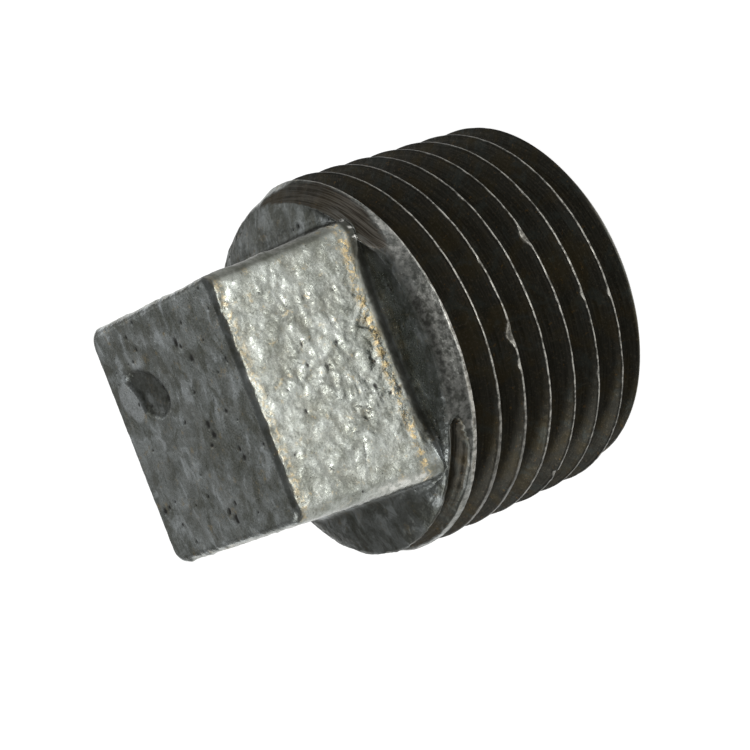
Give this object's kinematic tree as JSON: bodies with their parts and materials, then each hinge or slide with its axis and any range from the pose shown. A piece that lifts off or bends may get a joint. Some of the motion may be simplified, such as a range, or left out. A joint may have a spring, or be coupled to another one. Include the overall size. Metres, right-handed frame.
{
  "type": "pipe plug",
  "caption": "Square-head pipe plug with a male taper thread, a domed shoulder and a cored hollow open at the threaded end.",
  "frame": {"origin": "on the thread axis at the insertion end, the bottom centre of the part", "axes": "+Z along the thread axis from the insertion end to the square head; X and Y square to the head's flats"},
  "size_m": [0.0216, 0.0215, 0.0233],
  "materials": {
    "galvanised_iron": "hot-dip galvanised casting with a dark oiled cut thread"
  },
  "bodies": {
    "root": {"plug_body": "galvanised_iron"}
  },
  "joints": []
}
